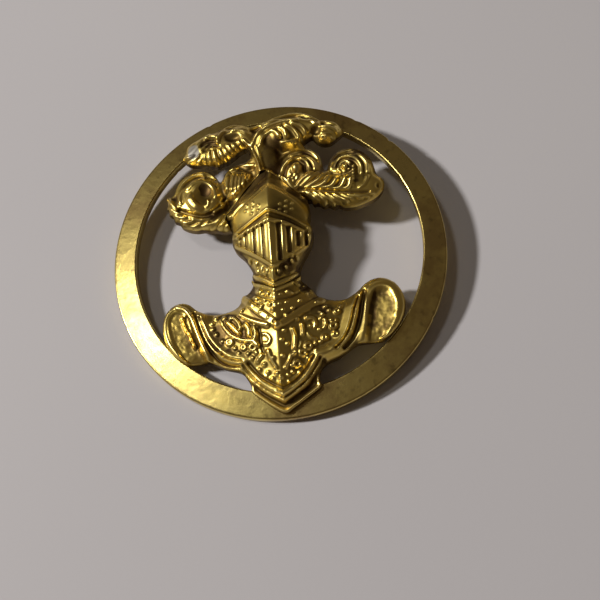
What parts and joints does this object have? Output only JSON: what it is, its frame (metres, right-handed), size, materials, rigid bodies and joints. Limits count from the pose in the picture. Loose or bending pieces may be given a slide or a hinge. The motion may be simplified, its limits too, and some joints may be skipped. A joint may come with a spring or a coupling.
{
  "type": "cap badge",
  "caption": "Round pierced badge with a plumed closed helm over an engraved cuirass on a plain ring, and a hinged pin with a turning catch on its back.",
  "frame": {"origin": "on the ring's axis, level with the lowest point of the catch housing on the back", "axes": "+X to the right as one faces the badge, +Y up the badge towards the plumes, +Z out of its face"},
  "size_m": [0.041, 0.041, 0.0099],
  "materials": {
    "gilt_ring": "satin gilt, tarnished",
    "gilt_relief": "polished gilt, tarnished in the recesses",
    "plain_brass": "plain, handled",
    "pin_steel": "drawn wire"
  },
  "bodies": {
    "badge": {"ring": "gilt_ring", "helm": "gilt_relief", "cuirass": "gilt_relief", "plume_crest": "gilt_relief", "brooch_bar": "plain_brass", "hinge_bracket": "plain_brass", "hinge_rivet": "plain_brass", "catch_housing": "plain_brass"},
    "pin": {"pin_wire": "pin_steel"},
    "rotor": {"catch_rotor": "plain_brass"}
  },
  "joints": [
    {"name": "pin_swing", "type": "hinge", "parent": "badge", "child": "pin", "pos_m": [-0.0102, 0.0086, 0.0015], "axis": [0, 1, 0], "range_deg": [0, 95]},
    {"name": "catch_turn", "type": "hinge", "parent": "badge", "child": "rotor", "pos_m": [0.0094, 0.0086, 0.0015], "axis": [1, 0, 0], "range_deg": [0, 90]}
  ]
}
